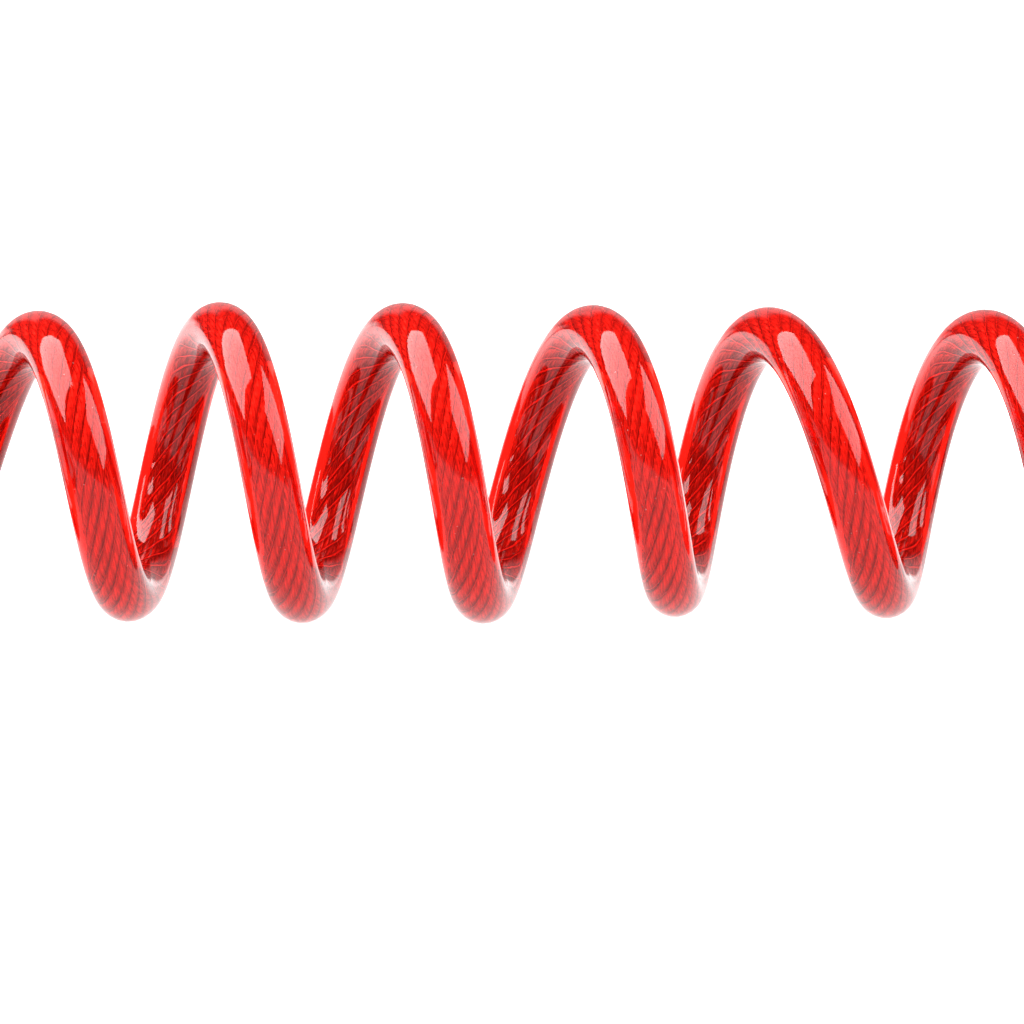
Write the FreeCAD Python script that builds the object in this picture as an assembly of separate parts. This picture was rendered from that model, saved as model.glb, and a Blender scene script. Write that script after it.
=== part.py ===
import FreeCAD, Part
import math
import os

# A coiled cable lock, lying open on a flat surface. Millimetres, +Z up. The lock head's axis runs along X,
# the socket's mouth faces -X and the cable leaves towards +X. The origin is under the middle of the head.

# Lock head, along its axis
axis_height = 12.4          # head's axis above the flat it rests on
casing_radius = 13.4
head_length = 72.0
front_length = 16.0
wheel_count = 4
wheel_width = 5.6
wheel_gap = 0.8             # between one wheel and the next
cap_length = 4.0
casing_taper_start = 20.0   # x where the rear casing begins to narrow

# Core tube and the pin that goes into it
core_radius = 6.0
socket_radius = 4.0
pin_radius = 3.9
fin_radius = 6.9
fin_width = 2.0
fin_length = 2.4
slot_width = 2.4
keyway_width = 2.6
keyway_radius = 7.3
flange_radius = 8.4
flange_thickness = 1.0
bezel_thickness = 1.4
core_end = 11.5

# Number wheels and code rings
digit_count = 10
wheel_radius = 11.5
wheel_bore = 8.65
ring_radius = 8.6
ring_running_bore = 6.05
ring_hollow_radius = 7.4
ring_wall = 1.6
rib_radius = 9.2
rib_width = 1.5
flute_radius = 1.2
flute_centre_radius = 12.1
code = (3, 7, 1, 5)

# Cable and what is crimped on each end of it
cable_radius = 5.0
rope_core_radius = 1.1
rope_strand_count = 8
rope_strand_radius = 0.68
rope_strand_circle = 1.8    # radius on which the strands' middles lie
ferrule_radius = 4.5
ferrule_bore = 2.55
ferrule_length = 12.0
jacket_end_x = 30.0         # where the jacket begins inside the head
boot_length = 27.0

# Plug
plug_radius = 10.8
plug_length = 25.0
collar_stand_out = 0.6
seal_thickness = 1.4
seat_gap = 1.2              # between the collar and the socket's face when the lock is shut
pin_tip_beyond_fins = 3.7

# Coil, lying beside the head, and the two leads that join it
coil_mean_radius = 23.7
coil_axis_y = 80.0
coil_start_x = 130.0
coil_end_x = 397.0
head_route = [(30, 0, 12.4), (80, 0, 12.4), (119, 31, 8), (130, 80, 5)]
plug_route = [(397, 80, 5), (408, 129, 7), (447, 160, 10.9), (497, 160, 10.9)]
arc_share = 0.45            # share of the shorter run that an arc takes

# Clearances
fit_clearance = 0.02
loose_clearance = 0.1

mouth_x = -head_length / 2
rear_x = head_length / 2
front_end = mouth_x + front_length
wheel_pitch = wheel_width + wheel_gap
stack_end = front_end + wheel_count * wheel_pitch + wheel_gap
digit_angle = 360 / digit_count
along = FreeCAD.Vector(1, 0, 0)
head_centre = FreeCAD.Vector(0, 0, axis_height)


def vector(x, y, z):
    return FreeCAD.Vector(x, y, z)


def corner_arc(before, corner, after, radius):
    """Start, middle and end of the arc that rounds a corner with this radius."""
    back = (before - corner).normalize()
    onward = (after - corner).normalize()
    half_angle = back.getAngle(onward) / 2
    reach = radius / math.tan(half_angle)
    inward = radius / math.sin(half_angle) - radius
    middle = (back + onward).normalize()
    return corner + back * reach, corner + middle * inward, corner + onward * reach


def rounded_wire(corners, radii, closed):
    """Straight runs joined by tangent arcs. A radius of 0 leaves its corner sharp."""
    count = len(corners)
    bends = []
    for i, corner in enumerate(corners):
        if radii[i] == 0:
            bends.append((corner, None, corner))
        else:
            bends.append(corner_arc(corners[i - 1], corner, corners[(i + 1) % count], radii[i]))
    edges = []
    for i, (start, middle, end) in enumerate(bends):
        if middle is not None:
            edges.append(Part.Arc(start, middle, end).toShape())
        if closed or i + 1 < count:
            edges.append(Part.LineSegment(end, bends[(i + 1) % count][0]).toShape())
    return Part.Wire(edges)


def turned(profile, centre):
    """A solid turned about the line along X through centre, from (x, radius, rounding) corners."""
    corners = [centre + vector(x, 0, radius) for x, radius, _ in profile]
    face = Part.Face(rounded_wire(corners, [rounding for _, _, rounding in profile], True))
    return face.revolve(centre, along, 360)


def rod(start, end, radius, centre):
    return Part.makeCylinder(radius, end - start, centre + vector(start, 0, 0), along)


def ring(start, end, outer, inner, centre):
    return rod(start, end, outer, centre).cut(rod(start - 1, end + 1, inner, centre))


def block(start, end, width, low, high, centre):
    """A block from x start to x end, centred on Y, from low to high above centre."""
    corner = centre + vector(start, -width / 2, low)
    return Part.makeBox(end - start, width, high - low, corner)


def upright(radius, low, high, centre):
    """A vertical cylinder from low to high above centre."""
    return Part.makeCylinder(radius, high - low, centre + vector(0, 0, low))


def around_head(shape, angle):
    turned_shape = shape.copy()
    turned_shape.rotate(head_centre, along, angle)
    return turned_shape


def spread_round(shape, first_angle):
    """One copy of a shape for each digit, evenly round the head's axis."""
    return [around_head(shape, first_angle + k * digit_angle) for k in range(digit_count)]


def wheel_start(k):
    return front_end + wheel_gap + k * wheel_pitch


# Core and casings

pin_key_radius = 1.0
pin_key_places = (-27.0, 7.9)
pin_key_depth = 4.8
flange_start = mouth_x + bezel_thickness
flange_end = flange_start + flange_thickness
groove_start = 9.45
groove_end = 10.3
groove_radius = 5.4
leaf_seat = 5.0             # depth of the leaf's seat below the axis
leaf_width = 3.4
leaf_groove_width = 3.8
mark_width = 0.9
mark_length = 4.5
mark_depth = 0.6
mark_inset = 1.0            # between an index mark and the wheels' end of its casing
screw_radius = 1.95
screw_places = (-9.5, -4.5)
end_wall = 3.0              # rear casing's wall beside the last wheel
cavity_radius = 8.0
tail_radius = 10.7
mouth_rounding = 3.0
wheel_side_rounding = 0.6
taper_rounding = 18.0
bezel_mouth_radius = 5.4
bezel_bore = 4.6
bezel_bevel = 0.8
clip_radius = 7.6
clip_opening = 4.0
clip_play = 0.05


def core_tube():
    tube = turned([
        (flange_start, socket_radius, 0),
        (flange_start, flange_radius, 0),
        (flange_end, flange_radius, 0),
        (flange_end, core_radius, 0),
        (groove_start, core_radius, 0),
        (groove_start, groove_radius, 0),
        (groove_end, groove_radius, 0),
        (groove_end, core_radius, 0),
        (core_end, core_radius, 0),
        (core_end, socket_radius, 0),
    ], head_centre)
    slot = block(flange_start - 1, stack_end - 0.2, slot_width, 0, flange_radius + 1, head_centre)
    leaf_groove = block(front_end, stack_end, leaf_groove_width, -core_radius - 1, -leaf_seat, head_centre)
    key_holes = [
        upright(pin_key_radius, -core_radius - 1, -pin_key_depth + 0.1, head_centre + along * x)
        for x in pin_key_places
    ]
    return tube.cut([slot, leaf_groove] + key_holes)


def casing_holes():
    """What both casings leave open: the core's seat, the two key pins and the two index marks."""
    seat = rod(mouth_x, stack_end + end_wall, core_radius + fit_clearance, head_centre)
    pins = [
        upright(pin_key_radius + fit_clearance, -casing_radius, 0, head_centre + along * x)
        for x in pin_key_places
    ]
    return [seat] + pins + mark_blocks(fit_clearance)


def mark_blocks(room):
    """The two blocks that the index marks are cut from, with room left all round them."""
    blocks = []
    for start in (front_end - mark_inset - mark_length, stack_end + mark_inset):
        blocks.append(block(
            start - room, start + mark_length + room, mark_width + 2 * room,
            casing_radius - mark_depth - room, casing_radius + 1, head_centre,
        ))
    return blocks


def above_rest():
    """The space above the surface that the head rests on."""
    size = 2 * head_length
    return Part.makeBox(size, size, size, vector(-size / 2, -size / 2, 0))


def front_housing():
    shell = turned([
        (mouth_x, 0, 0),
        (mouth_x, casing_radius, mouth_rounding),
        (front_end, casing_radius, wheel_side_rounding),
        (front_end, 0, 0),
    ], head_centre)
    bezel_seat = rod(mouth_x - 1, flange_end, flange_radius + loose_clearance, head_centre)
    keyway = block(mouth_x, front_end + 1, keyway_width, 0, keyway_radius, head_centre)
    return shell.common(above_rest()).cut([bezel_seat, keyway] + casing_holes())


def rear_housing():
    tail = jacket_end_x + casing_tail
    shell = turned([
        (stack_end, 0, 0),
        (stack_end, casing_radius, wheel_side_rounding),
        (casing_taper_start, casing_radius, taper_rounding),
        (tail, tail_radius, 0.3),
        (tail, 0, 0),
    ], head_centre)
    cavity = rod(stack_end + end_wall, jacket_end_x - ferrule_length - 1, cavity_radius, head_centre)
    end = head_centre + along * jacket_end_x
    screws = [upright(screw_radius + fit_clearance, -casing_radius, 0, end + along * x) for x in screw_places]
    shell = shell.common(above_rest())
    return shell.cut([cavity] + cable_end_seat(end) + screws + casing_holes())


def socket_bezel():
    bezel = turned([
        (mouth_x, bezel_mouth_radius, 0),
        (mouth_x, flange_radius, 0.4),
        (flange_start, flange_radius, 0),
        (flange_start, bezel_bore, 0),
        (mouth_x + bezel_bevel, bezel_bore, 0),
    ], head_centre)
    return bezel.cut(block(mouth_x - 1, flange_start + 1, keyway_width, 0, keyway_radius, head_centre))


def retaining_ring():
    start = groove_start + clip_play
    end = groove_end - clip_play
    clip = ring(start, end, clip_radius, groove_radius + fit_clearance, head_centre)
    return clip.cut(block(start - 1, end + 1, clip_opening, 0, clip_radius + 1, head_centre))


def housing_pins():
    return Part.makeCompound([
        upright(pin_key_radius, -axis_height + 0.6, -pin_key_depth, head_centre + along * x)
        for x in pin_key_places
    ])


def index_marks():
    skin = rod(mouth_x, rear_x, casing_radius, head_centre)
    return Part.makeCompound([skin.common(mark) for mark in mark_blocks(0)])


# Wheels

wheel_rounding = 0.5
notch_radius = 0.95
notch_centre_radius = 5.4
washer_radius = 10.4
washer_key_depth = 0.4
spring_rise = 0.2
spring_thickness = 0.25
spring_end_gap = 0.12
spring_rim_radius = 10.2
spring_bore_play = 0.15
leaf_thickness = 0.3
leaf_end_gap = 0.4
bump_depth = 5.9            # from the axis to the top of a bump
bump_radius = 0.9
bump_width = 1.6


def number_wheel(k):
    start = wheel_start(k)
    wheel = turned([
        (start, wheel_bore, 0),
        (start, wheel_radius, wheel_rounding),
        (start + wheel_width, wheel_radius, wheel_rounding),
        (start + wheel_width, wheel_bore, 0),
    ], head_centre)
    groove = block(
        start - 1, start + wheel_width + 1, rib_width + 2 * loose_clearance,
        0, rib_radius + loose_clearance, head_centre,
    )
    flute_centre = head_centre + vector(0, 0, flute_centre_radius)
    flute = rod(start - 1, start + wheel_width + 1, flute_radius, flute_centre)
    return wheel.cut(spread_round(groove, 0) + spread_round(flute, digit_angle / 2))


def code_ring(k):
    start = wheel_start(k) + loose_clearance
    end = wheel_start(k) + wheel_width - loose_clearance
    rib = block(start, end, rib_width, ring_radius - 0.5, rib_radius, head_centre)
    body = ring(start, end, ring_radius, ring_running_bore, head_centre).fuse(spread_round(rib, 0))
    hollow = rod(start + ring_wall, end + 1, ring_hollow_radius, head_centre)
    notch = rod(start - 1, end, notch_radius, head_centre + vector(0, 0, -notch_centre_radius))
    gate = block(start - 1, end, keyway_width, 0, keyway_radius, head_centre)
    gate = around_head(gate, -code[k] * digit_angle)
    return body.cut([hollow, gate] + spread_round(notch, 0))


def spacer_washer(k):
    start = wheel_start(k) - wheel_gap + loose_clearance
    end = wheel_start(k) - loose_clearance
    washer = ring(start, end, washer_radius, core_radius + loose_clearance, head_centre)
    key = block(
        start, end, leaf_width, -core_radius - washer_key_depth, -leaf_seat - washer_key_depth, head_centre,
    )
    keyway = block(start - 1, end + 1, keyway_width, 0, keyway_radius, head_centre)
    return washer.fuse(key).cut(keyway)


def disc_spring():
    """A thin cone that pushes the wheels towards the socket, with its rim against the rear casing."""
    bore_radius = core_radius + spring_bore_play
    inner_x = stack_end - wheel_gap + spring_end_gap
    outer_x = stack_end - spring_end_gap - spring_rise
    return turned([
        (inner_x, bore_radius, 0),
        (inner_x + spring_thickness, bore_radius, 0),
        (outer_x + spring_thickness, spring_rim_radius, 0),
        (outer_x, spring_rim_radius, 0),
    ], head_centre)


def detent_spring():
    """A leaf along the underside of the core tube, with one bump for each wheel's notches."""
    strip = block(
        front_end + leaf_end_gap, stack_end - leaf_end_gap,
        leaf_width, -leaf_seat - leaf_thickness, -leaf_seat, head_centre,
    )
    bumps = []
    for k in range(wheel_count):
        middle = wheel_start(k) + loose_clearance + ring_wall / 2
        base = head_centre + vector(middle, -bump_width / 2, bump_radius - bump_depth)
        bump = Part.makeCylinder(bump_radius, bump_width, base, vector(0, 1, 0))
        seat = block(middle - 2, middle + 2, leaf_width, -leaf_seat - 2, -leaf_seat - 0.1, head_centre)
        bumps.append(bump.common(seat))
    return strip.fuse(bumps)


# What is fastened to each end of the cable. Each is made with the jacket's end at the origin and the
# cable leaving towards +X, then placed on the head or turned round for the plug.

cap_radius = 10.6
boot_flange_radius = 8.0
boot_body_radius = 7.0
boot_tip_radius = 6.0
skirt_outer = 9.4
skirt_inner = 8.6
skirt_depth = 3.0
casing_tail = 2.0           # how far a casing reaches past the jacket's end
rib_count = 4
local = FreeCAD.Vector(0, 0, 0)


def cable_end_seat(end):
    """The holes that a casing leaves for the ferrule, the jacket, the boot's flange and the cap's skirt."""
    return [
        rod(-ferrule_length - 1.5, 0.5, ferrule_radius + 0.05, end),
        rod(0, casing_tail + 1, cable_radius + loose_clearance, end),
        rod(casing_tail - 1.4, casing_tail + 1, boot_flange_radius + loose_clearance, end),
        ring(
            casing_tail - skirt_depth - loose_clearance, casing_tail + 1,
            skirt_outer + 0.05, skirt_inner - 0.05, end,
        ),
    ]


def ferrule():
    """A sleeve crimped at three places."""
    crimp_depth = 0.35
    crimp_width = 1.4
    profile = [(-ferrule_length, ferrule_bore, 0), (-ferrule_length, ferrule_radius, 0.4)]
    for middle in (-9.0, -6.0, -3.0):
        for x, radius in (
            (middle - crimp_width, ferrule_radius),
            (middle - crimp_width / 2, ferrule_radius - crimp_depth),
            (middle + crimp_width / 2, ferrule_radius - crimp_depth),
            (middle + crimp_width, ferrule_radius),
        ):
            profile.append((x, radius, 0))
    profile += [(0, ferrule_radius, 0), (0, ferrule_bore, 0)]
    return turned(profile, local)


def rope_end():
    """A core strand and eight strands round it, that stand 1 mm out of the ferrule."""
    start = -ferrule_length - 1
    strands = [rod(start, -0.05, rope_core_radius, local)]
    for k in range(rope_strand_count):
        strand = rod(start, -0.05, rope_strand_radius, vector(0, 0, rope_strand_circle))
        strand.rotate(local, along, k * 360 / rope_strand_count)
        strands.append(strand)
    return Part.makeCompound(strands)


def set_screws(depth):
    """Two grub screws with hexagon sockets, from the casing's underside up to the ferrule."""
    socket_depth = 1.5
    socket_corner_radius = 1.15
    screws = []
    for x in screw_places:
        place = along * x
        screw = upright(screw_radius, -depth, -ferrule_radius - 0.05, place)
        corners = []
        for k in range(7):
            angle = math.radians(60 * k)
            x_shift = socket_corner_radius * math.cos(angle)
            y_shift = socket_corner_radius * math.sin(angle)
            corners.append(place + vector(x_shift, y_shift, -depth))
        socket = Part.Face(Part.makePolygon(corners)).extrude(vector(0, 0, socket_depth))
        screws.append(screw.cut(socket))
    return Part.makeCompound(screws)


def end_cap():
    return turned([
        (casing_tail - skirt_depth, skirt_inner, 0),
        (casing_tail - skirt_depth, skirt_outer, 0),
        (casing_tail, skirt_outer, 0),
        (casing_tail, cap_radius, 0.3),
        (casing_tail + cap_length, cap_radius - 1.0, 1.2),
        (casing_tail + cap_length, boot_body_radius + 0.05, 0.3),
        (casing_tail, boot_body_radius + 0.05, 0),
        (casing_tail, skirt_inner, 0),
    ], local)


def boot():
    """A tapered sleeve with a flange at its root and flexing grooves near its tip."""
    start = casing_tail - 1.3
    neck = casing_tail - 0.05
    first_groove = casing_tail + cap_length + 2.5
    groove_width = 1.4
    groove_pitch = 3.6
    groove_depth = 0.9
    profile = [(start, cable_radius + 0.05, 0), (start, boot_flange_radius, 0), (neck, boot_flange_radius, 0)]
    profile += [(neck, boot_body_radius, 0)]

    def outside(x):
        share = max(0, (x - casing_tail - cap_length) / (boot_length - casing_tail - cap_length))
        return boot_body_radius + share * (boot_tip_radius - boot_body_radius)

    for k in range(rib_count):
        x = first_groove + k * groove_pitch
        floor = outside(x + groove_width) - groove_depth
        profile.append((x, outside(x), 0.3))
        profile.append((x, floor, 0.3))
        profile.append((x + groove_width, floor, 0.3))
        profile.append((x + groove_width, outside(x + groove_width), 0.3))
    profile += [(boot_length, boot_tip_radius, 0.5), (boot_length, cable_radius + 0.05, 0)]
    return turned(profile, local)


def on_head(shape):
    placed = shape.copy()
    placed.translate(vector(jacket_end_x, 0, axis_height))
    return placed


def on_plug(shape):
    placed = shape.copy()
    placed.rotate(local, vector(0, 0, 1), 180)
    placed.translate(vector(*plug_route[-1]))
    return placed


# Plug, in the same local frame: the pin points towards -X until on_plug turns it round

plug_face = casing_tail - plug_length
collar_face = plug_face - collar_stand_out
pin_root = -ferrule_length - 2
retainer_x = -17.5
retainer_radius = 1.0
retainer_depth = 0.5        # how far each of the retainer's ends is sunk below the plug's skin
grip_count = 3
grip_start = -11.0
grip_pitch = 3.4
grip_slope = 0.4
grip_floor = 1.0
grip_depth = 0.6
grip_rounding = 0.2
collar_seat_depth = 1.5
fin_clearance = 2.0         # between a shut fin and the wall of its code ring


def plug_housing():
    profile = [(plug_face, 0, 0), (plug_face, plug_radius, 1.2)]
    for k in range(grip_count):
        x = grip_start + k * grip_pitch
        floor = plug_radius - grip_depth
        profile.append((x, plug_radius, grip_rounding))
        profile.append((x + grip_slope, floor, grip_rounding))
        profile.append((x + grip_slope + grip_floor, floor, grip_rounding))
        profile.append((x + 2 * grip_slope + grip_floor, plug_radius, grip_rounding))
    profile += [(casing_tail, plug_radius, 0.3), (casing_tail, 0, 0)]
    holes = cable_end_seat(local)
    holes.append(rod(plug_face - 1, pin_root + 0.1, pin_radius + fit_clearance, local))
    holes.append(rod(plug_face - 1, plug_face + collar_seat_depth, flange_radius - 0.2, local))
    holes.append(cross_hole(retainer_radius + fit_clearance, plug_radius + 1))
    holes += [upright(screw_radius + fit_clearance, -plug_radius - 1, 0, along * x) for x in screw_places]
    return turned(profile, local).cut(holes)


def cross_hole(radius, reach):
    return Part.makeCylinder(radius, 2 * reach, vector(retainer_x, -reach, 0), vector(0, 1, 0))


def locking_pin():
    first_fin = collar_face - seat_gap - (wheel_start(0) + ring_wall + fin_clearance - mouth_x)
    last_fin = first_fin - (wheel_count - 1) * wheel_pitch
    tip = last_fin - fin_length / 2 - pin_tip_beyond_fins
    shaft = turned([
        (tip, 0, 0),
        (tip, pin_radius, 2.5),
        (pin_root, pin_radius, 0),
        (pin_root, 0, 0),
    ], local)
    fins = []
    for k in range(wheel_count):
        middle = first_fin - k * wheel_pitch
        fins.append(block(
            middle - fin_length / 2, middle + fin_length / 2, fin_width,
            pin_radius - 1, fin_radius, local,
        ))
    return shaft.fuse(fins).cut(cross_hole(retainer_radius + fit_clearance, plug_radius))


def pin_retainer():
    return cross_hole(retainer_radius, plug_radius - retainer_depth)


def plug_collar():
    root = plug_face + collar_seat_depth - 0.05
    rim = flange_radius - 0.25
    bore = pin_radius + 0.05
    return turned([(root, bore, 0), (root, rim, 0), (collar_face, rim, 0.4), (collar_face, bore, 0)], local)


def plug_seal():
    middle = collar_face - seal_thickness / 2
    major = pin_radius + seal_thickness / 2 + 0.01
    return Part.makeTorus(major, seal_thickness / 2, vector(middle, 0, 0), along)


# Cable

def cable_tube(route):
    """A tube along straight runs joined by the largest tangent arcs that the runs allow."""
    corners = [vector(*p) for p in route]
    radii = [0]
    for before, corner, after in zip(corners, corners[1:], corners[2:]):
        shorter = min((corner - before).Length, (after - corner).Length)
        half_turn = (corner - before).getAngle(after - corner) / 2
        radii.append(arc_share * shorter / math.tan(half_turn))
    radii.append(0)
    path = rounded_wire(corners, radii, False)
    section = Part.Wire(Part.makeCircle(cable_radius, corners[0], corners[1] - corners[0]))
    tube = path.makePipeShell([section], True, True)
    straight_volume = math.pi * cable_radius ** 2 * path.Length
    print("cable radii", [round(radius, 1) for radius in radii[1:-1]], "length", round(path.Length, 1))
    print("cable volume", round(tube.Volume), "section times length", round(straight_volume))
    return tube


def cable_coil():
    """The outer shape of the coil. Its first and last turns begin and end half a cable inside its ends."""
    radius = coil_mean_radius + cable_radius
    centre = vector(0, coil_axis_y, radius)
    return rod(coil_start_x - cable_radius, coil_end_x + cable_radius, radius, centre)


def main():
    parts = {
        "front_housing": front_housing(),
        "socket_bezel": socket_bezel(),
        "core_tube": core_tube(),
        "disc_spring": disc_spring(),
        "detent_spring": detent_spring(),
        "retaining_ring": retaining_ring(),
        "rear_housing": rear_housing(),
        "housing_pins": housing_pins(),
        "index_marks": index_marks(),
        "head_ferrule": on_head(ferrule()),
        "head_rope_end": on_head(rope_end()),
        "head_set_screws": on_head(set_screws(axis_height - 1)),
        "head_end_cap": on_head(end_cap()),
        "head_boot": on_head(boot()),
        "plug_ferrule": on_plug(ferrule()),
        "plug_rope_end": on_plug(rope_end()),
        "plug_set_screws": on_plug(set_screws(plug_radius - 1)),
        "plug_end_cap": on_plug(end_cap()),
        "plug_boot": on_plug(boot()),
        "plug_housing": on_plug(plug_housing()),
        "plug_collar": on_plug(plug_collar()),
        "plug_seal": on_plug(plug_seal()),
        "locking_pin": on_plug(locking_pin()),
        "pin_retainer": on_plug(pin_retainer()),
        "cable_lead_head": cable_tube(head_route),
        "cable_coil": cable_coil(),
        "cable_lead_plug": cable_tube(plug_route),
    }
    for k in range(wheel_count):
        parts[f"number_wheel_{k + 1}"] = number_wheel(k)
        parts[f"code_ring_{k + 1}"] = code_ring(k)
        parts[f"spacer_washer_{k + 1}"] = spacer_washer(k)
    os.makedirs("parts", exist_ok=True)
    for name, shape in parts.items():
        box = shape.BoundBox
        print(name, "valid" if shape.isValid() else "INVALID", "solids", len(shape.Solids),
              "volume", round(shape.Volume, 1), "x", round(box.XMin, 2), round(box.XMax, 2),
              "z", round(box.ZMin, 2), round(box.ZMax, 2))
        shape.exportStep(f"parts/{name}.step")


main()
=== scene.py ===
import math

import bmesh
import bpy
import numpy as np
from mathutils import Matrix, Quaternion, Vector


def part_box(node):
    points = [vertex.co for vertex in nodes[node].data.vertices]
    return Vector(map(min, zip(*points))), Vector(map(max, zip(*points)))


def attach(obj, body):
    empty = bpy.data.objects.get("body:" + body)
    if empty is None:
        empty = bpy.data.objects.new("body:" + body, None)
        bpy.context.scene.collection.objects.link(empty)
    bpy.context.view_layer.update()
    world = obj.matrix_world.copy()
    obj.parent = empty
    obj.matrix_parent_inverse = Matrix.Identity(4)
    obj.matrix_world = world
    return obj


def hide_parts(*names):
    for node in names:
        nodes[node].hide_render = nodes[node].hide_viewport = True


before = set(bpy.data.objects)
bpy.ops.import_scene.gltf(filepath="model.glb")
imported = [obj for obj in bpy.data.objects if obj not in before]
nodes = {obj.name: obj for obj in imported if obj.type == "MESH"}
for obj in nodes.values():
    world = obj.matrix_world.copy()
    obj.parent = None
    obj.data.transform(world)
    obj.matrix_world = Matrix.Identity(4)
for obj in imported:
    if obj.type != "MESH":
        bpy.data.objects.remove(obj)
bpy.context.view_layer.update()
MM = 0.001

# ---------------------------------------------------------------- cable route, in millimetres

CABLE_RADIUS = 5.0
COIL_AXIS_Y = 80.0
COIL_AXIS_Z = 28.7
COIL_START_X = 130.0
POINTS_PER_HALF_TURN = 12
HEAD_ROUTE = [(30, 0, 12.4), (80, 0, 12.4), (119, 31, 8)]
PLUG_ROUTE = [(408, 129, 7), (447, 160, 10.9), (497, 160, 10.9)]

# How far the coil goes along its axis in each half turn, and its radius between the half turns.
HALF_TURN_ADVANCE = [13, 13.5, 21, 16.4, 15.6, 15.4, 17.2, 15.1, 19.1, 15.3, 16.3, 22.1, 17, 17, 17, 16]
HALF_TURN_RADIUS = [
    23.7, 22.8, 23.7, 21.6, 23.7, 23.5, 23.7, 23.7, 23.5, 23.7, 22.1, 23.7, 22.1, 23.7, 22.8, 22.8, 23.7,
]


def eased(values, u):
    """The value at u along a list, on a smooth line through the list's values."""
    last = len(values) - 1
    k = min(int(u), last - 1)
    f = u - k
    before, start, end, after = (values[min(max(i, 0), last)] for i in (k - 1, k, k + 1, k + 2))
    slope_start = (end - before) / 2
    slope_end = (after - start) / 2
    return (
        (2 * f**3 - 3 * f**2 + 1) * start
        + (f**3 - 2 * f**2 + f) * slope_start
        + (3 * f**2 - 2 * f**3) * end
        + (f**3 - f**2) * slope_end
    )


def coil_points():
    """Control points of the coil's turns, from the bottom of its first turn to the bottom of its last."""
    places = np.concatenate([[0], np.cumsum(HALF_TURN_ADVANCE)])
    step = math.pi / POINTS_PER_HALF_TURN
    overshoot = 1 / (0.75 + 0.25 * math.cos(step))  # the spline runs inside its control points
    points = []
    for i in range(len(HALF_TURN_ADVANCE) * POINTS_PER_HALF_TURN + 1):
        u = i / POINTS_PER_HALF_TURN
        angle = math.pi * (1 + u)
        radius = eased(HALF_TURN_RADIUS, u)
        x = COIL_START_X + eased(places, u)
        y = COIL_AXIS_Y - radius * overshoot * math.sin(angle)
        z = COIL_AXIS_Z + radius * overshoot * math.cos(angle)
        points.append((x, y, max(z, CABLE_RADIUS)))
    return points


# ---------------------------------------------------------------- camera

CAMERA_AZIMUTH = -5.3
CAMERA_ELEVATION = 7.0
CAMERA_ROLL = 1.1
CAMERA_DISTANCE = 1.05
VIEW_WIDTH = 0.1829
VIEW_CENTRE_X = 261.6 * MM
VIEW_DROP = 8.5 * MM        # how far the coil's axis is above the middle of the picture


def make_camera():
    azimuth = math.radians(CAMERA_AZIMUTH)
    elevation = math.radians(CAMERA_ELEVATION)
    back = Vector((
        math.sin(azimuth) * math.cos(elevation),
        -math.cos(azimuth) * math.cos(elevation),
        math.sin(elevation),
    ))
    level = (-back).to_track_quat("-Z", "Y")
    rotation = level @ Quaternion((0, 0, 1), math.radians(CAMERA_ROLL))
    up = level @ Vector((0, 1, 0))
    target = Vector((VIEW_CENTRE_X, COIL_AXIS_Y * MM, COIL_AXIS_Z * MM)) - up * VIEW_DROP
    data = bpy.data.cameras.new("camera")
    data.sensor_width = 36.0
    data.lens = data.sensor_width * CAMERA_DISTANCE / VIEW_WIDTH
    data.clip_start = 0.05
    data.clip_end = 50.0
    camera = bpy.data.objects.new("camera", data)
    bpy.context.scene.collection.objects.link(camera)
    camera.rotation_mode = "QUATERNION"
    camera.rotation_quaternion = rotation
    camera.location = target + back * CAMERA_DISTANCE
    bpy.context.scene.camera = camera
    return target


view_target = make_camera()


# ---------------------------------------------------------------- small tools


def link(name, data):
    made = bpy.data.objects.new(name, data)
    bpy.context.scene.collection.objects.link(made)
    return made


def new_material(name):
    """A material with a Principled shader, and the two nodes to work on."""
    material = bpy.data.materials.new(name)
    material.use_nodes = True
    tree = material.node_tree
    return material, tree, tree.nodes["Principled BSDF"]


def add(tree, kind, **values):
    """A new node, with its own properties and its inputs' values set by name."""
    node = tree.nodes.new(kind)
    for key, value in values.items():
        if hasattr(node, key):
            setattr(node, key, value)
        else:
            node.inputs[key.replace("_", " ")].default_value = value
    return node


# ---------------------------------------------------------------- cable


def make_jacket():
    points = HEAD_ROUTE + coil_points() + PLUG_ROUTE
    curve = bpy.data.curves.new("cable_jacket", "CURVE")
    curve.dimensions = "3D"
    curve.resolution_u = 6
    spline = curve.splines.new("NURBS")
    spline.points.add(len(points) - 1)
    for point, place in zip(spline.points, points):
        point.co = (*(c * MM for c in place), 1)
    spline.order_u = 3
    spline.use_endpoint_u = True
    curve.bevel_depth = CABLE_RADIUS * MM
    curve.bevel_resolution = 10
    curve.use_fill_caps = True
    return link("cable_jacket", curve)


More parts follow.
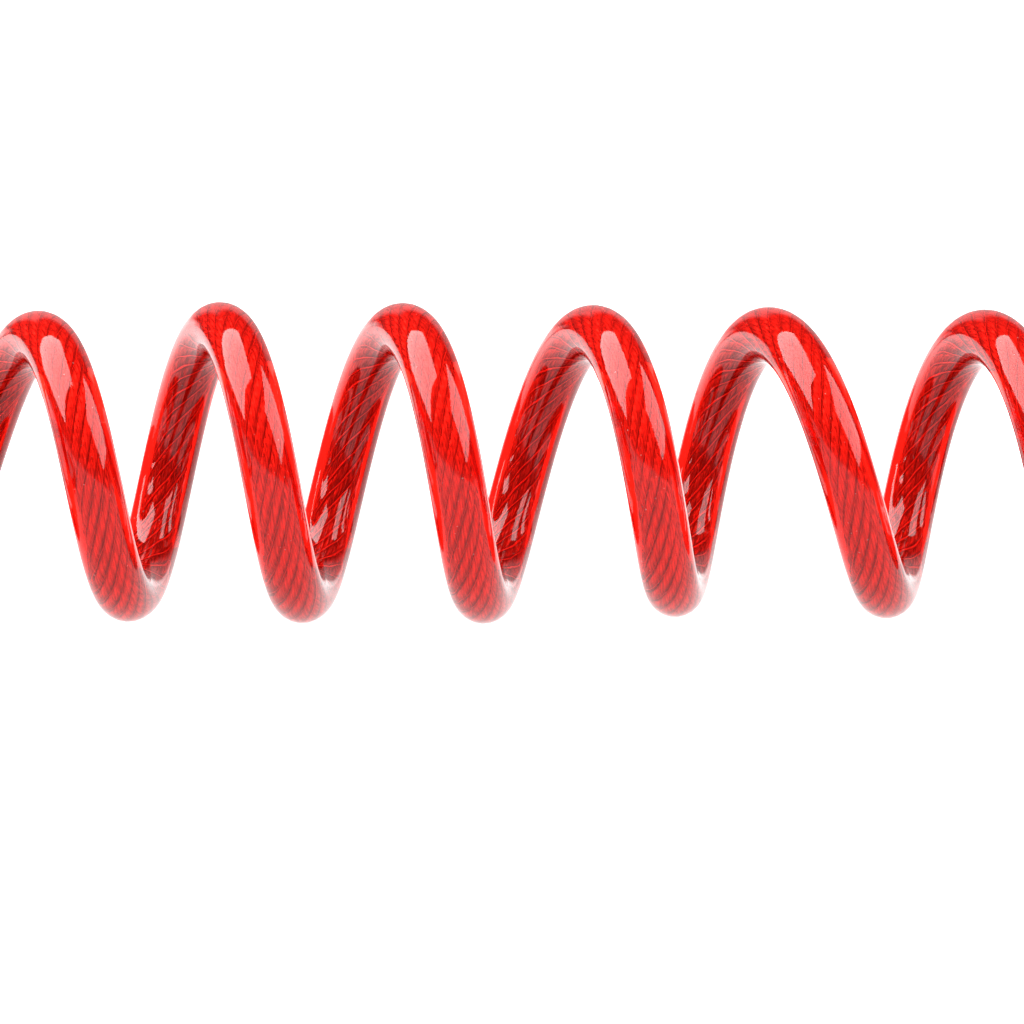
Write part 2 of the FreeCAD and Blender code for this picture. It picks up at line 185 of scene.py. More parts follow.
def route_line(cable, step):
    """Points along the cable's own spline, step apart, with a frame at each that doesn't twist."""
    bare = cable.data.copy()
    bare.bevel_depth = 0
    probe = link("route_probe", bare)
    graph = bpy.context.evaluated_depsgraph_get()
    mesh = bpy.data.meshes.new_from_object(probe.evaluated_get(graph))
    line = np.array([v.co for v in mesh.vertices])
    bpy.data.objects.remove(probe)
    lengths = np.concatenate([[0], np.cumsum(np.linalg.norm(np.diff(line, axis=0), axis=1))])
    places = np.linspace(0, lengths[-1], int(lengths[-1] / step) + 1)
    centres = np.stack([np.interp(places, lengths, line[:, k]) for k in range(3)], axis=1)
    tangents = np.gradient(centres, axis=0)
    tangents /= np.linalg.norm(tangents, axis=1)[:, None]
    side = np.cross(tangents[0], (0, 0, 1))
    sides = []
    for tangent in tangents:
        side = side - tangent * (side @ tangent)
        side = side / np.linalg.norm(side)
        sides.append(side)
    sides = np.array(sides)
    return places, centres, sides, np.cross(tangents, sides)


STRAND_COUNT = 8
STRAND_RADIUS = 0.68 * MM
STRAND_CIRCLE = 1.8 * MM    # radius on which the strands' middles lie
CORE_RADIUS = 1.1 * MM
ROPE_LAY = 34.0 * MM        # length of one turn of a strand round the rope
WIRE_LAY = 8.3 * MM         # length of one turn of a wire round its strand, the other way
WIRES_IN_STRAND = 6
STRAND_STEP = 0.6 * MM


def strand_outline(radius):
    """Angle and radius of each point of a strand's outline: six wires side by side round a seventh."""
    wire = radius / 3
    outline = []
    for k in range(WIRES_IN_STRAND):
        for offset in (-30, -15, 0, 15):
            a = math.radians(offset)
            reach = 2 * wire * math.cos(a) + math.sqrt(max(wire**2 - (2 * wire * math.sin(a)) ** 2, 0))
            outline.append((math.radians(60 * k) + a, reach))
    return outline


def unit(vectors):
    return vectors / (np.linalg.norm(vectors, axis=1)[:, None] + 1e-9)


def facing_coil(centres, points):
    """How far points round the cable face the coil's axis: 1 towards it, 0 away from it."""
    away = centres - np.array((0, COIL_AXIS_Y, COIL_AXIS_Z)) * MM
    away[:, 0] = 0
    return np.clip(0.5 - 0.8 * np.sum(unit(points - centres) * unit(away), axis=1), 0, 1)


def nearness_to_valley(centres, middles, points):
    """How far points on a strand are round the rope from its middle: 0 there, 1 in the valley beside it."""
    cosines = np.sum(unit(points - centres) * unit(middles - centres), axis=1)
    return np.clip(np.arccos(np.clip(cosines, -1, 1)) * STRAND_COUNT / math.pi, 0, 1)


def add_places(piece, name, columns):
    """A vector for each point of a tube, from one (rings, 3) array for each point round it."""
    attribute = piece.data.attributes.new(name, "FLOAT_VECTOR", "POINT")
    attribute.data.foreach_set("vector", np.stack(columns, axis=1).ravel())


def tube_mesh(name, tubes):
    """Closed tubes in one piece, each from rings of points, (rings, points round, 3)."""
    vertices = []
    faces = []
    for rings in tubes:
        count, around, _ = rings.shape
        start = len(vertices)
        vertices += rings.reshape(-1, 3).tolist()
        first = start + np.arange(count - 1)[:, None] * around
        here = np.arange(around)[None, :]
        onward = (here + 1) % around
        sides = [first + here, first + onward, first + around + onward, first + around + here]
        faces += np.stack(sides, axis=2).reshape(-1, 4).tolist()
        faces.append([start + i for i in reversed(range(around))])
        faces.append([start + (count - 1) * around + i for i in range(around)])
    mesh = bpy.data.meshes.new(name)
    mesh.from_pydata(vertices, [], faces)
    mesh.polygons.foreach_set("use_smooth", [True] * len(mesh.polygons))
    mesh.update()
    return link(name, mesh)


def make_strand(name, line, start_angle, circle, radius):
    """One strand of the rope: its outline turns about its own middle as it goes round the rope."""
    places, centres, sides, ups = line
    phase = start_angle + 2 * math.pi * places / ROPE_LAY
    middles = centres + circle * (np.cos(phase)[:, None] * sides + np.sin(phase)[:, None] * ups)
    spin = phase - 2 * math.pi * places / WIRE_LAY
    rings = []
    wire_places = []
    rope_places = []
    for angle, reach in strand_outline(radius):
        a = spin + angle
        ring = middles + reach * (np.cos(a)[:, None] * sides + np.sin(a)[:, None] * ups)
        around = np.broadcast_to((math.cos(angle), math.sin(angle)), (len(places), 2))
        rings.append(ring)
        wire_places.append(np.column_stack([places, around]))
        # These two masks carry painted shade into rope_material: the side that faces the coil's axis, and
        # the valleys between strands.
        valley = nearness_to_valley(centres, middles, ring)
        rope_places.append(np.column_stack([facing_coil(centres, ring), valley, 0 * valley]))
    strand = tube_mesh(name, [np.stack(rings, axis=1)])
    add_places(strand, "wire_place", wire_places)
    add_places(strand, "rope_shade_place", rope_places)
    return strand


RIDGE_RADIUS = 0.14 * MM
RIDGE_REACH = 2.32 * MM
RIDGE_SIDES = 5


def ridge_rings(line, k):
    """A thin uneven ridge inside the vinyl, where it ran into the valley between two strands."""
    places, centres, sides, ups = line
    wander = 0.05 * np.sin(places / (2.3 * MM) + 2.1 * k) + 0.03 * np.sin(places / (0.9 * MM) + 5 * k)
    phase = (k + 0.5) * 2 * math.pi / STRAND_COUNT + 2 * math.pi * places / ROPE_LAY + wander
    reach = RIDGE_REACH + 0.05 * MM * np.sin(places / (1.7 * MM) + 1.3 * k)
    outward = np.cos(phase)[:, None] * sides + np.sin(phase)[:, None] * ups
    middles = centres + reach[:, None] * outward
    thickness = RIDGE_RADIUS * (1 + 0.3 * np.sin(places / (3.1 * MM) + 3.7 * k))
    thickness *= 0.3 + 0.7 * facing_coil(centres, middles)
    rings = []
    for corner in range(RIDGE_SIDES):
        a = phase + 2 * math.pi * corner / RIDGE_SIDES
        turned = np.cos(a)[:, None] * sides + np.sin(a)[:, None] * ups
        rings.append(middles + thickness[:, None] * turned)
    return np.stack(rings, axis=1)


BOOT_START = 0.7 * MM       # distances along the cable from its end inside the casing
BOOT_NECK = 1.95 * MM
BOOT_CAP_END = 6.0 * MM
BOOT_LENGTH = 27.0 * MM
BOOT_FLANGE_RADIUS = 8.0 * MM
BOOT_ROOT_RADIUS = 7.0 * MM
BOOT_TIP_RADIUS = 6.0 * MM
BOOT_FIRST_GROOVE = 8.5 * MM
BOOT_GROOVE_PITCH = 3.6 * MM
BOOT_GROOVE_WIDTH = 1.4 * MM
BOOT_GROOVE_DEPTH = 0.9 * MM
BOOT_GROOVES = 4
BOOT_EDGE = 0.25 * MM
BOOT_SIDES = 72


def boot_outline():
    """Distance along the cable and radius of each corner of a boot's section, outside and then inside."""
    bore = (CABLE_RADIUS + 0.05) * MM
    outline = [(BOOT_START, bore), (BOOT_START, BOOT_FLANGE_RADIUS), (BOOT_NECK, BOOT_FLANGE_RADIUS)]
    outline += [(BOOT_NECK, BOOT_ROOT_RADIUS), (BOOT_CAP_END, BOOT_ROOT_RADIUS)]

    def outside(distance):
        share = (distance - BOOT_CAP_END) / (BOOT_LENGTH - BOOT_CAP_END)
        return BOOT_ROOT_RADIUS + share * (BOOT_TIP_RADIUS - BOOT_ROOT_RADIUS)

    for k in range(BOOT_GROOVES):
        near = BOOT_FIRST_GROOVE + k * BOOT_GROOVE_PITCH
        far = near + BOOT_GROOVE_WIDTH
        floor = outside(far) - BOOT_GROOVE_DEPTH
        outline += [(near, outside(near)), (near, floor), (far, floor), (far, outside(far))]
    middle = (far + BOOT_LENGTH) / 2
    outline += [(middle, outside(middle)), (BOOT_LENGTH, BOOT_TIP_RADIUS)]
    outline += [(BOOT_LENGTH, bore), (middle, bore)]
    return outline


def softened(outline):
    """The outline with each corner cut by a short arc of three points."""
    points = [Vector(point) for point in outline]
    soft = []
    for before, corner, after in zip(points[-1:] + points[:-1], points, points[1:] + points[:1]):
        start = corner + (before - corner).normalized() * min(BOOT_EDGE, (before - corner).length / 2.1)
        end = corner + (after - corner).normalized() * min(BOOT_EDGE, (after - corner).length / 2.1)
        soft += [start, (start + 2 * corner + end) / 4, end]
    return soft


def make_boot(name, line, from_far_end):
    """A rubber boot that bends with the cable, which it holds."""
    places, centres, sides, ups = line
    rings = []
    for distance, radius in softened(boot_outline()):
        place = places[-1] - distance if from_far_end else distance
        centre, side, up = (
            np.array([np.interp(place, places, column) for column in values.T])
            for values in (centres, sides, ups)
        )
        ring = []
        for corner in range(BOOT_SIDES):
            a = 2 * math.pi * corner / BOOT_SIDES
            ring.append(centre + radius * (math.cos(a) * side + math.sin(a) * up))
        rings.append(ring)
    vertices = np.array(rings).reshape(-1, 3).tolist()
    faces = []
    for i in range(len(rings)):
        first = i * BOOT_SIDES
        second = (i + 1) % len(rings) * BOOT_SIDES
        for here in range(BOOT_SIDES):
            onward = (here + 1) % BOOT_SIDES
            face = [first + here, first + onward, second + onward, second + here]
            faces.append(face if from_far_end else face[::-1])
    mesh = bpy.data.meshes.new(name)
    mesh.from_pydata(vertices, [], faces)
    mesh.polygons.foreach_set("use_smooth", [True] * len(faces))
    mesh.set_sharp_from_angle(angle=math.radians(40))
    mesh.update()
    return link(name, mesh)


jacket = make_jacket()
line = route_line(jacket, STRAND_STEP)
strands = [make_strand("rope_core_strand", line, 0, 0, CORE_RADIUS)]
for k in range(STRAND_COUNT):
    start_angle = 2 * math.pi * k / STRAND_COUNT
    strands.append(make_strand(f"rope_strand_{k + 1}", line, start_angle, STRAND_CIRCLE, STRAND_RADIUS))
ridges = tube_mesh("jacket_ridges", [ridge_rings(line, k) for k in range(STRAND_COUNT)])
boots = {
    "head_boot": make_boot("head_boot_bent", line, from_far_end=False),
    "plug_boot": make_boot("plug_boot_bent", line, from_far_end=True),
}


def jacket_material():
    """Clear red vinyl over the rope, faintly wavy, with a little dust on it."""
    material, tree, shader = new_material("red_vinyl")
    place = add(tree, "ShaderNodeTexCoord")
    waves = add(tree, "ShaderNodeTexNoise", Scale=1 / (3.5 * MM), Detail=1.0, Roughness=0.4)
    bump = add(tree, "ShaderNodeBump", Strength=1.0, Distance=0.03 * MM)
    smears = add(tree, "ShaderNodeTexNoise", Scale=1 / (9 * MM), Detail=3.0, Roughness=0.6)
    gloss = add(tree, "ShaderNodeMapRange", From_Min=0.35, From_Max=0.7, To_Min=0.02, To_Max=0.07)
    specks = add(tree, "ShaderNodeTexNoise", Scale=1 / (0.45 * MM), Detail=0.0)
    dust = add(tree, "ShaderNodeMapRange", From_Min=0.84, From_Max=0.88, To_Max=0.8)
    mix = add(tree, "ShaderNodeMix", data_type="RGBA")
    mix.inputs["A"].default_value = (0.96, 0.012, 0.006, 1)
    mix.inputs["B"].default_value = (0.9, 0.75, 0.7, 1)
    for texture in (waves, smears, specks):
        tree.links.new(place.outputs["Object"], texture.inputs["Vector"])
    tree.links.new(waves.outputs["Fac"], bump.inputs["Height"])
    tree.links.new(smears.outputs["Fac"], gloss.inputs["Value"])
    tree.links.new(specks.outputs["Fac"], dust.inputs["Value"])
    tree.links.new(dust.outputs[0], mix.inputs["Factor"])
    tree.links.new(mix.outputs["Result"], shader.inputs["Base Color"])
    tree.links.new(gloss.outputs[0], shader.inputs["Roughness"])
    tree.links.new(bump.outputs["Normal"], shader.inputs["Normal"])
    shader.inputs["Transmission Weight"].default_value = 0.84
    shader.inputs["IOR"].default_value = 1.36
    return material


def rope_material():
    """Steel wires with painted shade: darker colours on the side that faces the coil's axis, and near-black
    in the valleys between the strands, most on that side.
    """
    material, tree, shader = new_material("rope_steel")
    wire_place = add(tree, "ShaderNodeAttribute", attribute_name="wire_place")
    rope_shade_place = add(tree, "ShaderNodeAttribute", attribute_name="rope_shade_place")
    parts = add(tree, "ShaderNodeSeparateXYZ")
    stretched = add(tree, "ShaderNodeMapping", Scale=(220.0, 2.2, 2.2))
    streaks = add(tree, "ShaderNodeTexNoise", Scale=1.0, Detail=2.0, Roughness=0.5)
    sides = add(tree, "ShaderNodeMix", data_type="RGBA")
    # Painted shade: the valleys between the strands darken towards near-black, more on the side that faces
    # the coil's axis.
    valley = add(tree, "ShaderNodeMapRange", From_Min=0.35, From_Max=1.05, To_Max=0.7)
    valley.interpolation_type = "SMOOTHSTEP"
    contrast = add(tree, "ShaderNodeMapRange", To_Min=0.5, To_Max=1.0)
    valley_shade_amount = add(tree, "ShaderNodeMath", operation="MULTIPLY")
    valley_painted_shade = add(tree, "ShaderNodeMix", data_type="RGBA")
    valley_painted_shade.inputs["B"].default_value = (0.05, 0.04, 0.04, 1)
    tree.links.new(wire_place.outputs["Vector"], stretched.inputs["Vector"])
    tree.links.new(stretched.outputs["Vector"], streaks.inputs["Vector"])
    tree.links.new(rope_shade_place.outputs["Vector"], parts.inputs[0])
    tree.links.new(parts.outputs["X"], sides.inputs["Factor"])
    tree.links.new(parts.outputs["Y"], valley.inputs["Value"])
    # Ramp A is the side away from the coil's axis; ramp B, much darker, is painted shade on the side that
    # faces it.
    ramps = [
        ("A", (0.34, (0.5, 0.46, 0.45, 1)), (0.62, (0.95, 0.92, 0.9, 1))),
        ("B", (0.42, (0.09, 0.075, 0.07, 1)), (0.56, (0.48, 0.44, 0.43, 1))),
    ]
    for socket, dark, pale in ramps:
        ramp = add(tree, "ShaderNodeValToRGB")
        low, high = ramp.color_ramp.elements
        low.position, low.color = dark
        high.position, high.color = pale
        tree.links.new(streaks.outputs["Fac"], ramp.inputs["Fac"])
        tree.links.new(ramp.outputs["Color"], sides.inputs[socket])
    tree.links.new(parts.outputs["X"], contrast.inputs["Value"])
    tree.links.new(valley.outputs[0], valley_shade_amount.inputs[0])
    tree.links.new(contrast.outputs[0], valley_shade_amount.inputs[1])
    tree.links.new(valley_shade_amount.outputs[0], valley_painted_shade.inputs["Factor"])
    tree.links.new(sides.outputs["Result"], valley_painted_shade.inputs["A"])
    tree.links.new(valley_painted_shade.outputs["Result"], shader.inputs["Base Color"])
    shader.inputs["Metallic"].default_value = 0.6
    shader.inputs["Roughness"].default_value = 0.32
    return material


def ridge_material():
    """Cloudy vinyl ridges in the grooves, painted paler than the jacket: a painted highlight standing in
    for light shining through the vinyl there.
    """
    material, tree, shader = new_material("vinyl_ridge_painted_highlight")
    place = add(tree, "ShaderNodeTexCoord")
    clouds = add(tree, "ShaderNodeTexNoise", Scale=1 / (1.5 * MM), Detail=2.0)
    colours = add(tree, "ShaderNodeValToRGB")
    low, high = colours.color_ramp.elements
    low.position, low.color = 0.35, (0.95, 0.5, 0.45, 1)
    high.position, high.color = 0.65, (1.0, 0.85, 0.8, 1)
    tree.links.new(place.outputs["Object"], clouds.inputs["Vector"])
    tree.links.new(clouds.outputs["Fac"], colours.inputs["Fac"])
    tree.links.new(colours.outputs["Color"], shader.inputs["Base Color"])
    shader.inputs["Roughness"].default_value = 0.5
    return material


jacket.data.materials.append(jacket_material())
ridges.data.materials.append(ridge_material())
steel_rope = rope_material()
for strand in strands:
    strand.data.materials.append(steel_rope)

for piece in strands:
    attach(piece, "lock")
for piece in (jacket, ridges):
    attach(piece, "lock")
for node, boot in boots.items():
    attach(boot, "lock")
    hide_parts(node)
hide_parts("cable_lead_head", "cable_coil", "cable_lead_plug")


# ---------------------------------------------------------------- materials of the lock's own pieces


def surface(
    name, colour, other_colour, roughness, metallic=0.0, blotch=4 * MM, grain=0.3 * MM,
    depth=0.01 * MM, stretch=(1, 1, 1), rough_spread=0.1,
):
    """Soft blotches of a second colour and of gloss, with a fine grain that stands up by depth."""
    material, tree, shader = new_material(name)
    place = add(tree, "ShaderNodeTexCoord")
    blotches = add(tree, "ShaderNodeTexNoise", Scale=1 / blotch, Detail=4.0, Roughness=0.6)
    colours = add(tree, "ShaderNodeValToRGB")
    low, high = colours.color_ramp.elements
    low.position, low.color = 0.35, (*colour, 1)
    high.position, high.color = 0.68, (*other_colour, 1)
    gloss = add(
        tree, "ShaderNodeMapRange", From_Min=0.3, From_Max=0.7,
        To_Min=roughness - rough_spread, To_Max=roughness + rough_spread,
    )
    stretched = add(tree, "ShaderNodeMapping", Scale=stretch)
    grains = add(tree, "ShaderNodeTexNoise", Scale=1 / grain, Detail=2.0, Roughness=0.5)
    bump = add(tree, "ShaderNodeBump", Strength=1.0, Distance=depth)
    tree.links.new(place.outputs["Object"], blotches.inputs["Vector"])
    tree.links.new(place.outputs["Object"], stretched.inputs["Vector"])
    tree.links.new(stretched.outputs["Vector"], grains.inputs["Vector"])
    tree.links.new(blotches.outputs["Fac"], colours.inputs["Fac"])
    tree.links.new(blotches.outputs["Fac"], gloss.inputs["Value"])
    tree.links.new(grains.outputs["Fac"], bump.inputs["Height"])
    tree.links.new(colours.outputs["Color"], shader.inputs["Base Color"])
    tree.links.new(gloss.outputs[0], shader.inputs["Roughness"])
    tree.links.new(bump.outputs["Normal"], shader.inputs["Normal"])
    shader.inputs["Metallic"].default_value = metallic
    return material, tree, shader, colours


def add_scratches(tree, shader, colours, paler):
    """Fine pale scratches, mostly along the lock, over the colour that the ramp gives."""
    place = add(tree, "ShaderNodeTexCoord")
    turned = add(tree, "ShaderNodeMapping", Rotation=(0.3, 0.2, 0.5), Scale=(60.0, 1700.0, 1700.0))
    lines = add(tree, "ShaderNodeTexNoise", Scale=1.0, Detail=1.0, Roughness=0.4)
    mask = add(tree, "ShaderNodeMapRange", From_Min=0.69, From_Max=0.73, To_Max=0.7)
    mix = add(tree, "ShaderNodeMix", data_type="RGBA")
    mix.inputs["B"].default_value = (*paler, 1)
    tree.links.new(place.outputs["Object"], turned.inputs["Vector"])
    tree.links.new(turned.outputs["Vector"], lines.inputs["Vector"])
    tree.links.new(lines.outputs["Fac"], mask.inputs["Value"])
    tree.links.new(mask.outputs[0], mix.inputs["Factor"])
    tree.links.new(colours.outputs["Color"], mix.inputs["A"])
    tree.links.new(mix.outputs["Result"], shader.inputs["Base Color"])


def casing_plastic():
    """Black glass-filled nylon with a spark-eroded grain, rubbed and lightly scratched."""
    material, tree, shader, colours = surface(
        "casing_plastic", (0.016, 0.016, 0.018), (0.03, 0.03, 0.032), 0.42,
        blotch=6 * MM, grain=0.28 * MM, depth=0.03 * MM,
    )
    add_scratches(tree, shader, colours, (0.07, 0.07, 0.07))
    return material


def wheel_plastic():
    """Charcoal plastic, smoother than the casings and polished by fingers."""
    material, tree, shader, colours = surface(
        "wheel_plastic", (0.024, 0.024, 0.027), (0.045, 0.045, 0.048), 0.33,
        blotch=2.5 * MM, grain=0.2 * MM, depth=0.012 * MM,
    )
    add_scratches(tree, shader, colours, (0.14, 0.14, 0.14))
    return material


def white_paint():
    return surface(
        "white_paint", (0.86, 0.86, 0.83), (0.7, 0.69, 0.66), 0.45,
        blotch=0.8 * MM, grain=0.12 * MM, depth=0.006 * MM,
    )[0]


def chrome_trim():
    """Bright plating over turned metal, with finger smears."""
    return surface(
        "chrome_trim", (0.46, 0.46, 0.47), (0.36, 0.36, 0.37), 0.14, metallic=1.0,
        blotch=5 * MM, grain=0.5 * MM, depth=0.002 * MM, stretch=(6, 0.3, 0.3), rough_spread=0.06,
    )[0]


def turned_steel():
    """Lathe marks run round the X axis, so the grain is fine along it."""
    return surface(
        "turned_steel", (0.56, 0.56, 0.57), (0.42, 0.42, 0.43), 0.3, metallic=1.0,
        blotch=3 * MM, grain=0.4 * MM, depth=0.01 * MM, stretch=(5, 0.2, 0.2),
    )[0]


def hard_steel():
    return surface(
        "hard_steel", (0.42, 0.42, 0.44), (0.3, 0.3, 0.32), 0.22, metallic=1.0,
        blotch=4 * MM, grain=0.35 * MM, depth=0.006 * MM, stretch=(5, 0.15, 0.15), rough_spread=0.08,
    )[0]


def spring_steel():
    """Tempered steel, a little straw and blue in places."""
    return surface(
        "spring_steel", (0.42, 0.43, 0.47), (0.5, 0.44, 0.34), 0.25, metallic=1.0,
        blotch=2 * MM, grain=0.2 * MM, depth=0.004 * MM,
    )[0]


def black_steel():
    return surface(
        "black_steel", (0.03, 0.03, 0.034), (0.09, 0.085, 0.08), 0.4, metallic=0.8,
        blotch=0.9 * MM, grain=0.15 * MM, depth=0.008 * MM,
    )[0]


def turned_brass():
    return surface(
        "turned_brass", (0.78, 0.57, 0.26), (0.6, 0.41, 0.17), 0.28, metallic=1.0,
        blotch=2.5 * MM, grain=0.3 * MM, depth=0.01 * MM, stretch=(5, 0.2, 0.2),
    )[0]


def black_rubber():
    """Matt rubber with a bloom of dust."""
    return surface(
        "black_rubber", (0.012, 0.012, 0.013), (0.04, 0.039, 0.037), 0.72,
        blotch=3 * MM, grain=0.35 * MM, depth=0.03 * MM, rough_spread=0.12,
    )[0]


def rope_stub():
    """The bare ends of the rope inside the ferrules."""
    return surface(
        "rope_stub", (0.5, 0.49, 0.47), (0.3, 0.29, 0.28), 0.35, metallic=1.0,
        blotch=1 * MM, grain=0.25 * MM, depth=0.03 * MM, stretch=(0.3, 3, 3),
    )[0]


def numbered(stem):
    return [node for node in sorted(nodes) if node.startswith(stem)]


finishes = [
    (casing_plastic, ["front_housing", "rear_housing", "plug_housing"]),
    (wheel_plastic, numbered("number_wheel_")),
    (white_paint, ["index_marks"]),
    (chrome_trim, ["socket_bezel", "head_end_cap", "plug_end_cap", "plug_collar"]),
    (turned_steel, ["core_tube", "head_ferrule", "plug_ferrule", "housing_pins"]),
    (hard_steel, ["locking_pin", "pin_retainer"]),
    (spring_steel, ["disc_spring", "detent_spring", "retaining_ring"] + numbered("spacer_washer_")),
    (black_steel, ["head_set_screws", "plug_set_screws"]),
    (turned_brass, numbered("code_ring_")),
    (black_rubber, ["plug_seal"]),
    (rope_stub, ["head_rope_end", "plug_rope_end"]),
]
finished = {}
for make, names in finishes:
    finished[make] = make()
    for name in names:
        slots = nodes[name].data.materials
        for i in range(len(slots)):
            slots[i] = finished[make]
for boot in boots.values():
    boot.data.materials.append(finished[black_rubber])


# ---------------------------------------------------------------- digits on the number wheels

DIGIT_COUNT = 10
DIGIT_SIZE = 4.6 * MM
DIGIT_BOLDNESS = 0.12 * MM
DIGIT_SINK = 0.12 * MM
DIGIT_RISE = 0.05 * MM
BEND_STEP = 0.4 * MM        # pieces that a digit is cut into, so that it bends round the wheel


def digit_mesh(digit):
    """A flat digit about its own middle, with its height along Y, as thick as it sinks and rises."""
    text = bpy.data.curves.new("digit_text", "FONT")
    text.body = str(digit)
    text.size = DIGIT_SIZE
    text.offset = DIGIT_BOLDNESS
    text.extrude = (DIGIT_SINK + DIGIT_RISE) / 2
    text.resolution_u = 6
    probe = link("digit_probe", text)
    graph = bpy.context.evaluated_depsgraph_get()
    mesh = bpy.data.meshes.new_from_object(probe.evaluated_get(graph))
    bpy.data.objects.remove(probe)
    shape = bmesh.new()
    shape.from_mesh(mesh)
    bmesh.ops.remove_doubles(shape, verts=shape.verts, dist=1e-7)
    low = Vector([min(v.co[k] for v in shape.verts) for k in range(3)])
    high = Vector([max(v.co[k] for v in shape.verts) for k in range(3)])
    for vertex in shape.verts:
        vertex.co -= (low + high) / 2
    half = (high.y - low.y) / 2
    for k in range(1, int(2 * half / BEND_STEP) + 1):
        bmesh.ops.bisect_plane(
            shape, geom=shape.verts[:] + shape.edges[:] + shape.faces[:],
            plane_co=(0, -half + k * BEND_STEP, 0), plane_no=(0, 1, 0), dist=1e-8,
        )
    shape.to_mesh(mesh)
    shape.free()
    return mesh


def wheel_digits(k, digits):
    """All ten digits of one wheel, bent round it. Digit 0 is on top, and turning brings up the next."""
    low, high = (Vector(corner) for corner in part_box(f"number_wheel_{k}"))
    middle = (low + high) / 2
    radius = (high.z - low.z) / 2
    vertices = []
    faces = []
    for digit, mesh in enumerate(digits):
        first = len(vertices)
        for vertex in mesh.vertices:
            angle = 2 * math.pi * digit / DIGIT_COUNT + vertex.co.y / radius
            reach = radius + (DIGIT_RISE - DIGIT_SINK) / 2 + vertex.co.z
            vertices.append((
                middle.x + vertex.co.x,
                middle.y + reach * math.sin(angle),
                middle.z + reach * math.cos(angle),
            ))
        faces += [[first + i for i in face.vertices] for face in mesh.polygons]
    made = bpy.data.meshes.new(f"wheel_digits_{k}")
    made.from_pydata(vertices, [], faces)
    made.update()
    made.materials.append(finished[white_paint])
    piece = link(f"wheel_digits_{k}", made)
    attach(piece, f"wheel_{k}")


digit_meshes = [digit_mesh(digit) for digit in range(DIGIT_COUNT)]
for k in range(1, 5):
    wheel_digits(k, digit_meshes)


# ---------------------------------------------------------------- floor, lights, world

FLOOR_REACH = 14.0
FLOOR_SIDES = 96
FLOOR_DROP = 0.1 * MM       # the floor is this far below the object, so that the two don't flicker
FLOOR_GLOW_NEAR = 1.12      # what the floor gives out of itself, so that it is white even in a shadow
FLOOR_GLOW_BEHIND = 1.9
BEHIND_STARTS_Y = 0.18      # between these two places the floor's glow rises to what it is behind
BEHIND_FULL_Y = 0.42


def make_floor():
    """A wide round floor, white to the eye wherever it is looked at."""
    mesh = bpy.data.meshes.new("floor")
    corners = []
    for k in range(FLOOR_SIDES):
        angle = 2 * math.pi * k / FLOOR_SIDES
        corners.append((FLOOR_REACH * math.cos(angle), FLOOR_REACH * math.sin(angle), -FLOOR_DROP))
    mesh.from_pydata(corners, [], [list(range(FLOOR_SIDES))])
    floor = link("floor", mesh)
    material, tree, shader = new_material("floor_white")
    shader.inputs["Base Color"].default_value = (0.16, 0.16, 0.16, 1)
    shader.inputs["Specular IOR Level"].default_value = 0.0
    shader.inputs["Roughness"].default_value = 0.9
    shader.inputs["Emission Color"].default_value = (1, 1, 1, 1)
    place = add(tree, "ShaderNodeTexCoord")
    parts = add(tree, "ShaderNodeSeparateXYZ")
    glow = add(
        tree, "ShaderNodeMapRange",
        From_Min=BEHIND_STARTS_Y, From_Max=BEHIND_FULL_Y, To_Min=FLOOR_GLOW_NEAR, To_Max=FLOOR_GLOW_BEHIND,
    )
    tree.links.new(place.outputs["Object"], parts.inputs[0])
    tree.links.new(parts.outputs["Y"], glow.inputs["Value"])
    tree.links.new(glow.outputs[0], shader.inputs["Emission Strength"])
    mesh.materials.append(material)


SOFTBOX_DISTANCE = 0.9
SOFTBOX_LENGTH = 0.85


def make_softbox(name, direction, width, radiance):
    """A rectangular light that faces the middle of the picture, with its length along the Y axis."""
    data = bpy.data.lights.new(name, "AREA")
    data.shape = "RECTANGLE"
    data.size = width
    data.size_y = SOFTBOX_LENGTH
    data.energy = math.pi * width * SOFTBOX_LENGTH * radiance
    lamp = link(name, data)
    toward = Vector(direction).normalized()
    length_axis = Vector((0, 1, 0))
    length_axis = (length_axis - toward * toward.dot(length_axis)).normalized()
    width_axis = length_axis.cross(toward)
    turned = Matrix((width_axis, length_axis, toward)).transposed().to_4x4()
    lamp.matrix_world = Matrix.Translation(view_target + toward * SOFTBOX_DISTANCE) @ turned


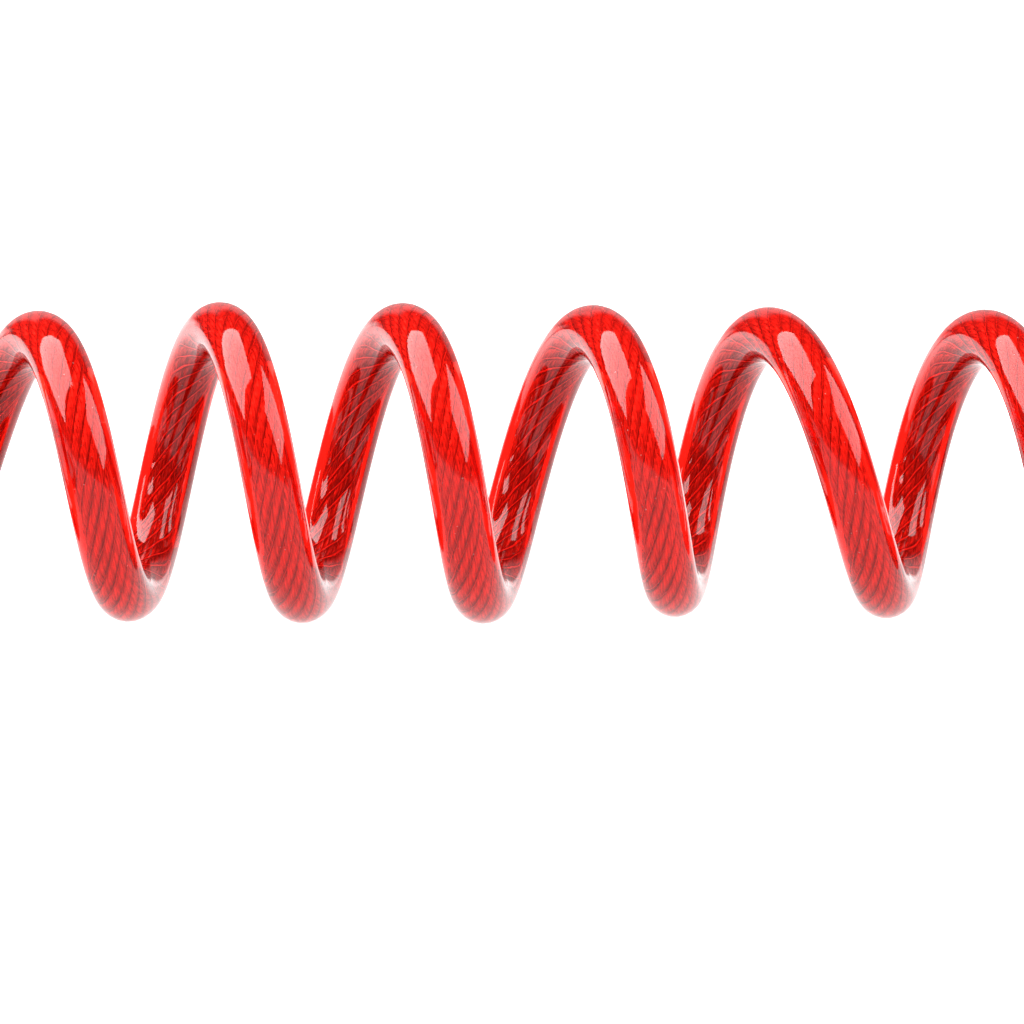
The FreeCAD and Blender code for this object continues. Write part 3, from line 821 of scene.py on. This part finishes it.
ROOM_DIM = 0.05             # the light of the room where no card is


def make_world():
    """A dim room with a white sheet behind the object, brightest low down, and low cards round it."""
    world = bpy.data.worlds.new("light_tent")
    bpy.context.scene.world = world
    world.use_nodes = True
    tree = world.node_tree
    background = tree.nodes["Background"]
    place = add(tree, "ShaderNodeTexCoord")
    parts = add(tree, "ShaderNodeSeparateXYZ")
    axes = {"x": parts.outputs["X"], "y": parts.outputs["Y"], "z": parts.outputs["Z"]}

    def join(operation, first, second):
        both = add(tree, "ShaderNodeMath", operation=operation)
        tree.links.new(first.outputs[0], both.inputs[0])
        tree.links.new(second.outputs[0], both.inputs[1])
        return both

    def card(strength, *edges):
        """Its strength inside, 0 outside; an edge is an axis, where the light ends and where it is full."""
        light = None
        for axis, out, full in edges:
            edge = add(tree, "ShaderNodeMapRange", From_Min=out, From_Max=full)
            if light is None:
                edge.inputs["To Max"].default_value = strength
            tree.links.new(axes[axis], edge.inputs["Value"])
            light = edge if light is None else join("MULTIPLY", light, edge)
        return light

    lights = [
        card(1.9, ("y", 0.5, 0.65), ("z", 0.1, 0.03), ("x", -0.52, -0.42)),
        card(0.65, ("y", 0.5, 0.65), ("z", 0.62, 0.5), ("x", -0.42, -0.3)),
        card(1.0, ("x", -0.9, -0.94), ("z", 0.07, 0.05)),
        card(1.0, ("x", 0.9, 0.94), ("z", 0.07, 0.05)),
        card(0.35, ("y", -0.2, -0.4), ("z", 0.2, -0.02)),
    ]
    brightest = add(tree, "ShaderNodeValue")
    brightest.outputs[0].default_value = ROOM_DIM
    for light in lights:
        brightest = join("MAXIMUM", brightest, light)
    tree.links.new(place.outputs["Generated"], parts.inputs[0])
    tree.links.new(brightest.outputs[0], background.inputs["Strength"])
    background.inputs["Color"].default_value = (1, 1, 1, 1)


make_floor()
make_softbox("softbox_left", (-0.64, -0.01, 0.77), width=1.2, radiance=8.5)
make_softbox("softbox_right", (0.725, -0.31, 0.615), width=0.7, radiance=6.0)
make_world()
bpy.context.scene.view_settings.view_transform = "Standard"
